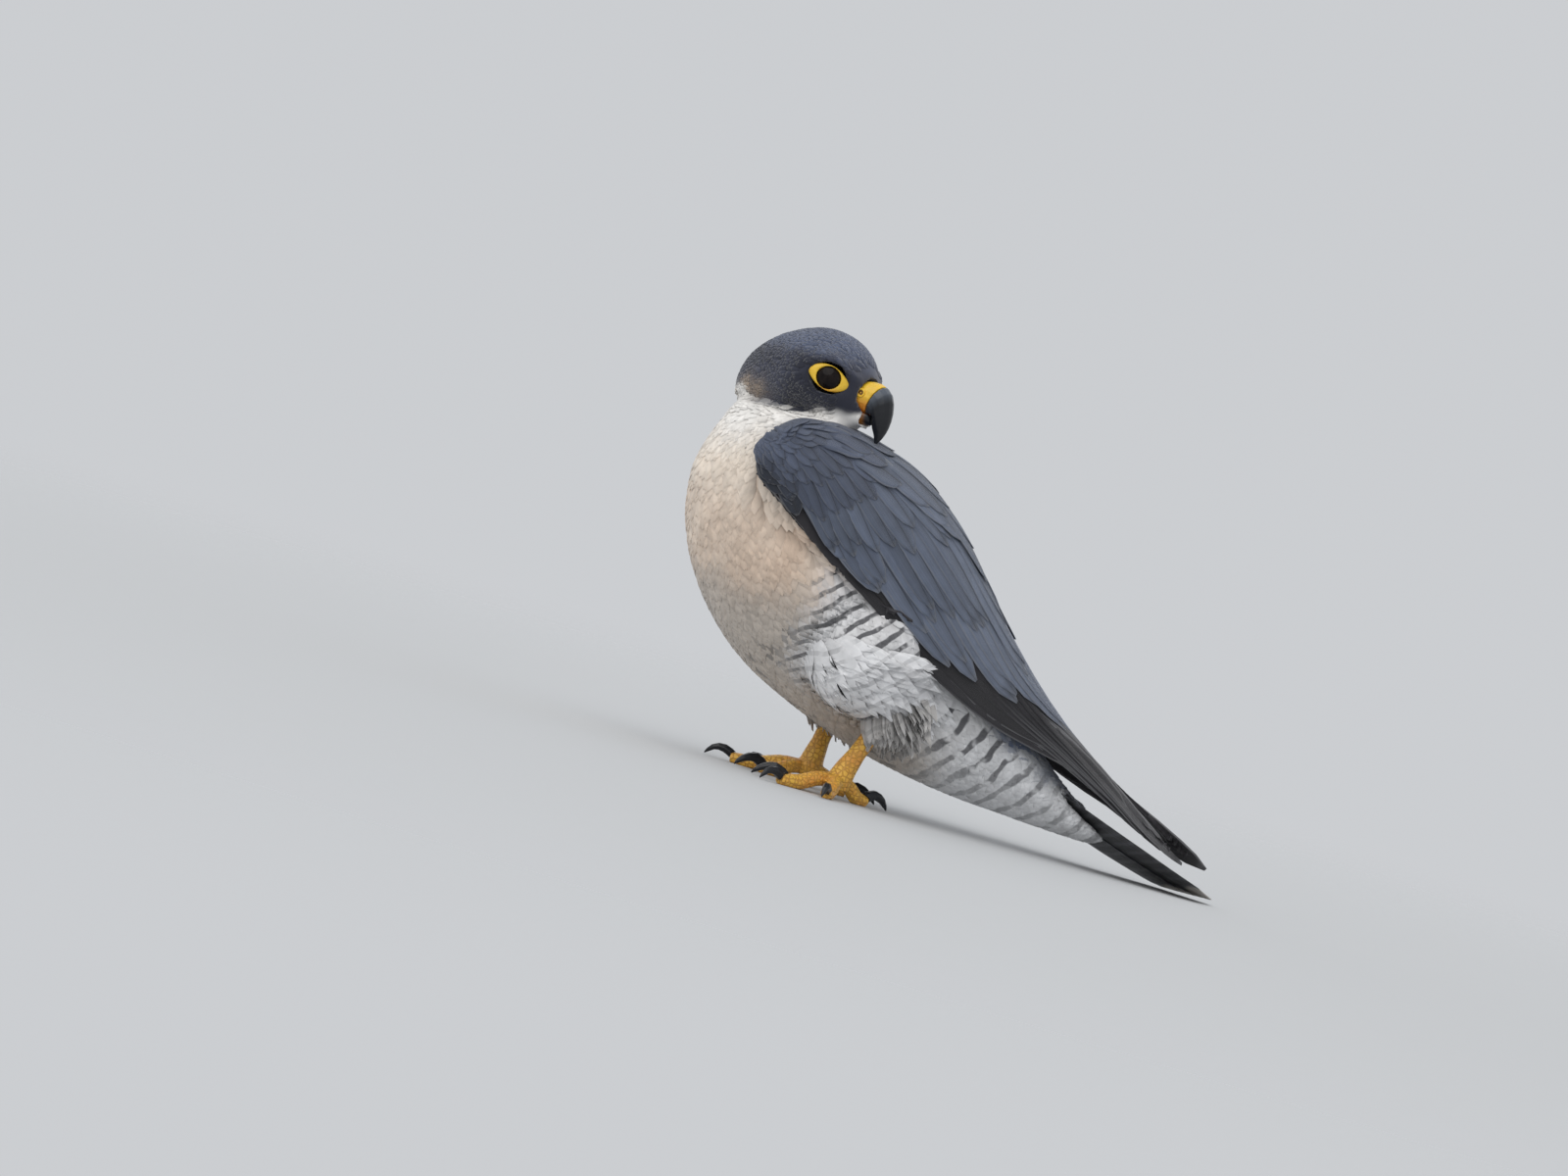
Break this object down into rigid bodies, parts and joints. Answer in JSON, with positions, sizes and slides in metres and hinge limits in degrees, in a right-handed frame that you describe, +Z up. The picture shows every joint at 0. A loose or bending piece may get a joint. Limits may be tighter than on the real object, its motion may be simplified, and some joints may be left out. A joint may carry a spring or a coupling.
{
  "type": "peregrine falcon",
  "caption": "Life-size still model of a standing peregrine falcon with folded wings, looking back over its left shoulder.",
  "frame": {"origin": "on the floor, under the centre of the model's box", "axes": "+Z up, the bird heads along -X with its left side towards -Y, and its tail points to +X"},
  "size_m": [0.3133, 0.1298, 0.21],
  "materials": {
    "hood": "close slate-black feathers",
    "breast": "soft cream and buff feathers",
    "barred": "whitish feathers with dark bars",
    "slate": "slate-blue flight feathers and coverts",
    "tail": "dark tail feathers with pale tips",
    "skin": "bare yellow skin, scaled on the feet",
    "horn": "smooth dark horn",
    "eye": "wet dark brown"
  },
  "bodies": {
    "root": {"head": "hood", "neck": "breast", "torso": "breast", "rump": "barred", "thigh_left": "barred", "thigh_right": "barred", "wing_left": "slate", "wing_right": "slate", "tail": "tail", "cere": "skin", "orbital_ring_left": "skin", "orbital_ring_right": "skin", "tarsus_left": "skin", "tarsus_right": "skin", "toe_inner_left": "skin", "toe_middle_left": "skin", "toe_outer_left": "skin", "toe_rear_left": "skin", "toe_inner_right": "skin", "toe_middle_right": "skin", "toe_outer_right": "skin", "toe_rear_right": "skin", "bill_upper": "horn", "bill_lower": "horn", "claw_inner_left": "horn", "claw_middle_left": "horn", "claw_outer_left": "horn", "claw_rear_left": "horn", "claw_inner_right": "horn", "claw_middle_right": "horn", "claw_outer_right": "horn", "claw_rear_right": "horn", "eye_left": "eye", "eye_right": "eye"}
  },
  "joints": []
}
